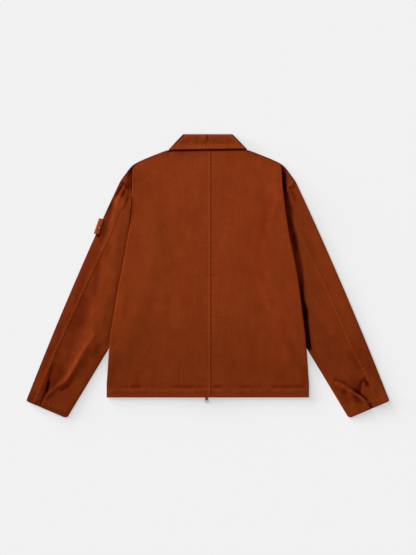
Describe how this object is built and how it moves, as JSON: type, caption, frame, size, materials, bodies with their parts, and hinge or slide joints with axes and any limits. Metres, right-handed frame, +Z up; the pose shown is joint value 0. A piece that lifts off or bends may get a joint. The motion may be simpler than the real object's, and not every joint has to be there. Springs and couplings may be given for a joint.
{
  "type": "overshirt laid flat",
  "caption": "Zipped cotton overshirt with collar and long sleeves, laid flat on its front with the back up.",
  "frame": {"origin": "middle of the garment's box on the surface it lies on", "axes": "+X across the garment from its left to its right as seen from above, +Y from hem to collar, +Z up from the surface"},
  "size_m": [0.999, 0.7814, 0.0099],
  "materials": {
    "cotton": "rust-orange garment-dyed cotton twill, matt",
    "tape": "woven zip tape, matt",
    "dyed_metal": "zip slider, rust-tinted, satin",
    "metal": "grey satin ring",
    "button": "dark brown, semi-gloss"
  },
  "bodies": {
    "garment": {"back_left": "cotton", "back_right": "cotton", "front_left": "cotton", "front_right": "cotton", "upper_sleeve_left": "cotton", "upper_sleeve_right": "cotton", "under_sleeve_left": "cotton", "under_sleeve_right": "cotton", "collar_leaf": "cotton", "collar_stand": "cotton", "zip_tape_left": "tape", "zip_tape_right": "tape", "zip_slider_lower": "dyed_metal", "zip_slider_upper": "dyed_metal", "sleeve_tab": "cotton", "sleeve_button": "button"},
    "lower_pull": {"zip_pull_lower": "metal"},
    "upper_pull": {"zip_pull_upper": "metal"}
  },
  "joints": [
    {"name": "lower_pull_hinge", "type": "hinge", "parent": "garment", "child": "lower_pull", "pos_m": [-0.0032, -0.3385, 0.00175], "axis": [1, 0, 0], "range_deg": [0, 170]},
    {"name": "upper_pull_hinge", "type": "hinge", "parent": "garment", "child": "upper_pull", "pos_m": [-0.0032, 0.2595, 0.00175], "axis": [1, 0, 0], "range_deg": [0, 170]}
  ]
}
